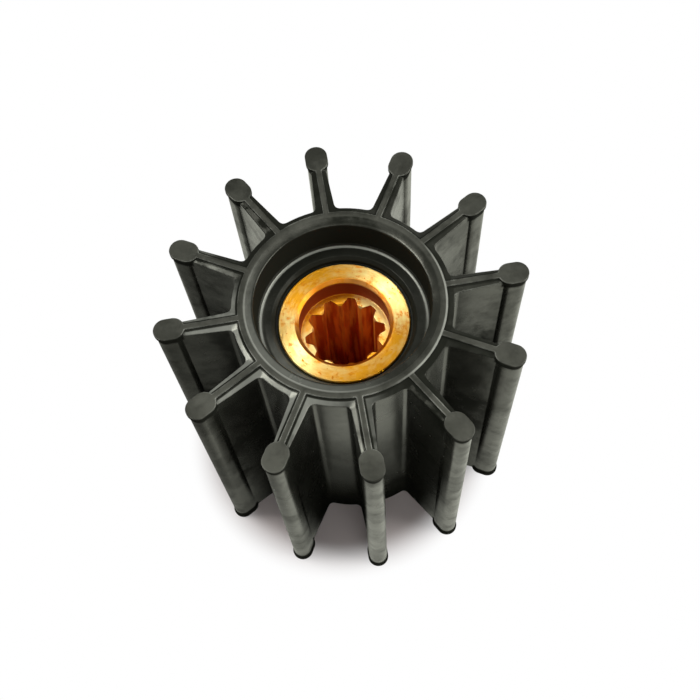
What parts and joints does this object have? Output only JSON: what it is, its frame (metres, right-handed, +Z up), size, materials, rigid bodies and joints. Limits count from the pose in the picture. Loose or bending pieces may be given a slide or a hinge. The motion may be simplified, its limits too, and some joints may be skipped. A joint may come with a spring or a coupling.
{
  "type": "rubber pump impeller",
  "caption": "Flexible rubber impeller of a marine cooling-water pump: straight radial vanes with beaded tips, moulded round a bronze insert with a splined bore.",
  "frame": {"origin": "on the shaft axis, in the plane of the lower ends of the vanes, where the impeller stands", "axes": "+Z up along the shaft axis, +X through the middle of one vane"},
  "size_m": [0.065, 0.065, 0.057],
  "materials": {
    "rubber": "satin moulded",
    "bronze": "turned"
  },
  "bodies": {
    "root": {"rubber_impeller": "rubber", "splined_insert": "bronze"}
  },
  "joints": []
}
